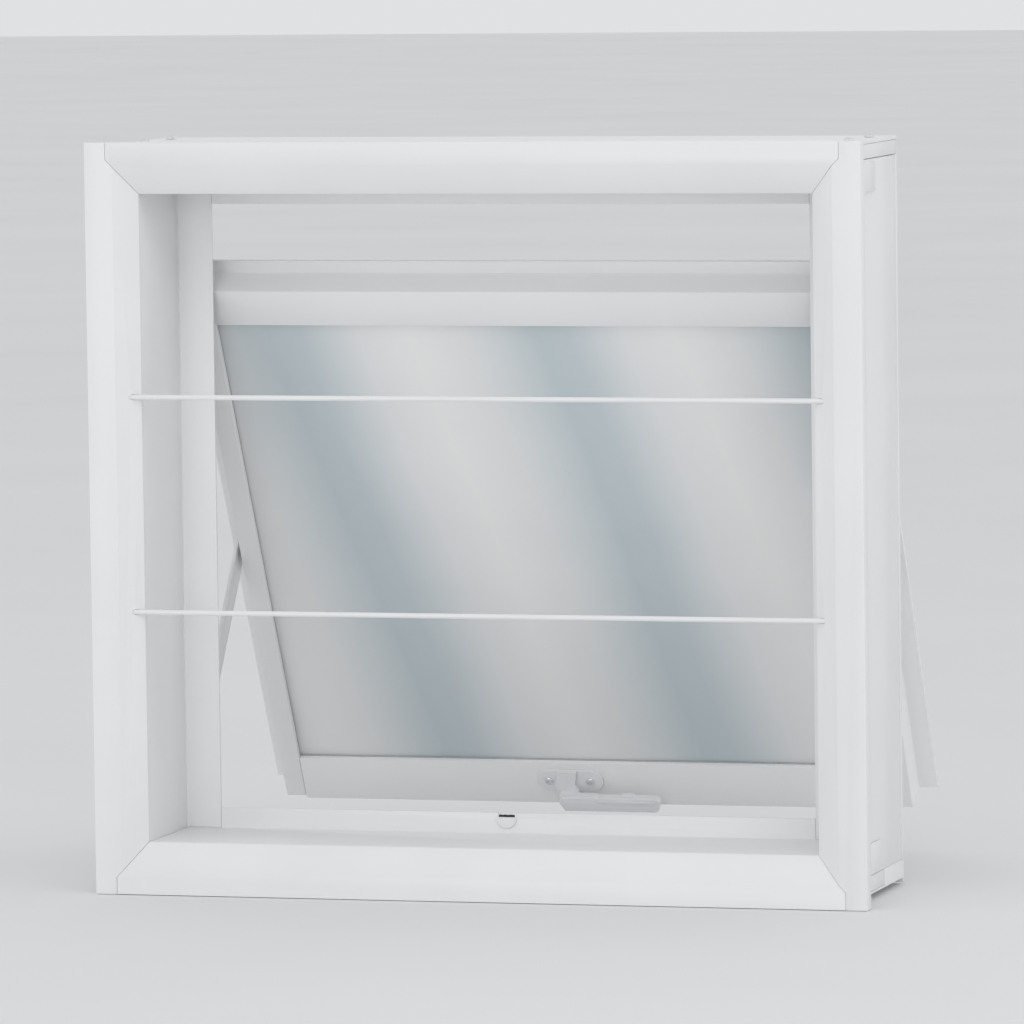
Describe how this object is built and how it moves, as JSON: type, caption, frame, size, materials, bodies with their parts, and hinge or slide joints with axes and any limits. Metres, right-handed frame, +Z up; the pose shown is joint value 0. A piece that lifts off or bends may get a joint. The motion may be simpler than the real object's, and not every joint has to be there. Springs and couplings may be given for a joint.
{
  "type": "top-hung projecting window",
  "caption": "Top-hung projecting window: deep hollow frame with flat room-side trims, level guard bars across the opening, and a glazed sash on sliding shoes and side stays with a lever latch.",
  "frame": {"origin": "on the sill's flat underside, at the middle of the frame's width and half way through its depth", "axes": "+X to the right as seen from the room, +Y towards the outside, +Z up; the sash stands open as modelled"},
  "size_m": [0.69, 0.4276, 0.654],
  "materials": {
    "coat": "white satin powder coat on aluminium extrusion",
    "latch": "light grey satin powder coat",
    "glass": "clear float glass",
    "rubber": "matt black EPDM",
    "nylon": "natural nylon",
    "steel": "satin stainless steel"
  },
  "bodies": {
    "frame": {"trim_left": "coat", "trim_right": "coat", "trim_top": "coat", "trim_bottom": "coat", "bar_lower": "coat", "bar_upper": "coat", "jamb_left": "coat", "jamb_right": "coat", "sill_profile": "coat", "head_profile": "coat", "head_screw_left_inner": "steel", "head_screw_left_outer": "steel", "head_screw_right_inner": "steel", "head_screw_right_outer": "steel", "corner_plate_left_low": "coat", "corner_plate_left_high": "coat", "corner_plate_right_low": "coat", "corner_plate_right_high": "coat", "sill_end_cap_left": "coat", "sill_end_cap_right": "coat", "head_end_cap_left": "coat", "head_end_cap_right": "coat", "latch_keeper": "latch", "frame_seal_left": "rubber", "frame_seal_right": "rubber", "frame_seal_bottom": "rubber", "frame_seal_top": "rubber", "track_left": "steel", "track_right": "steel", "stay_plate_left": "steel", "stay_plate_right": "steel", "stay_screw_left_low": "steel", "stay_screw_left_high": "steel", "stay_screw_right_low": "steel", "stay_screw_right_high": "steel"},
    "stay_arm_left": {"stay_arm_left": "coat"},
    "stay_arm_right": {"stay_arm_right": "coat"},
    "sash": {"sash_stile_left": "coat", "sash_stile_right": "coat", "sash_top_rail": "coat", "sash_bottom_rail": "coat", "glass_pane": "glass", "glazing_gasket": "rubber", "setting_block_left": "nylon", "setting_block_right": "nylon", "bead_top": "coat", "bead_bottom": "coat", "bead_left": "coat", "bead_right": "coat", "shoe_pin_left": "steel", "shoe_pin_right": "steel", "stay_stud_left": "steel", "stay_stud_right": "steel", "latch_base": "latch", "latch_screw_left": "steel", "latch_screw_right": "steel", "latch_pivot": "latch"},
    "shoe_left": {"shoe_left": "nylon"},
    "shoe_right": {"shoe_right": "nylon"},
    "latch_lever": {"latch_lever": "latch"}
  },
  "joints": [
    {"name": "stay_swing", "type": "hinge", "parent": "frame", "child": "stay_arm_left", "pos_m": [-0.299, 0.044, 0.092], "axis": [-1, 0, 0], "range_deg": [-36.4, 2.5]},
    {"name": "stay_swing_right", "type": "hinge", "parent": "frame", "child": "stay_arm_right", "pos_m": [0.299, 0.044, 0.092], "axis": [-1, 0, 0], "range_deg": [-36.45, 2.55]},
    {"name": "sash_tilt", "type": "hinge", "parent": "stay_arm_left", "child": "sash", "pos_m": [-0.299, 0.17829, 0.27377], "axis": [-1, 0, 0], "range_deg": [-4.6, 65.5]},
    {"name": "shoe_turn_left", "type": "hinge", "parent": "sash", "child": "shoe_left", "pos_m": [-0.3226, 0.044, 0.51604], "axis": [-1, 0, 0], "range_deg": [-29, 2.05]},
    {"name": "shoe_turn_right", "type": "hinge", "parent": "sash", "child": "shoe_right", "pos_m": [0.3226, 0.044, 0.51604], "axis": [-1, 0, 0], "range_deg": [-29, 2.05]},
    {"name": "latch_turn", "type": "hinge", "parent": "sash", "child": "latch_lever", "pos_m": [-0.021, 0.27808, 0.05868], "axis": [0, -0.8746, -0.4848], "range_deg": [-12, 45]}
  ],
  "couplings": [
    {"joint": "stay_swing_right", "follows": "stay_swing", "ratio": 1},
    {"joint": "sash_tilt", "follows": "stay_swing", "ratio": -1.7955},
    {"joint": "shoe_turn_left", "follows": "stay_swing", "ratio": 0.79547},
    {"joint": "shoe_turn_right", "follows": "stay_swing", "ratio": 0.79547}
  ]
}
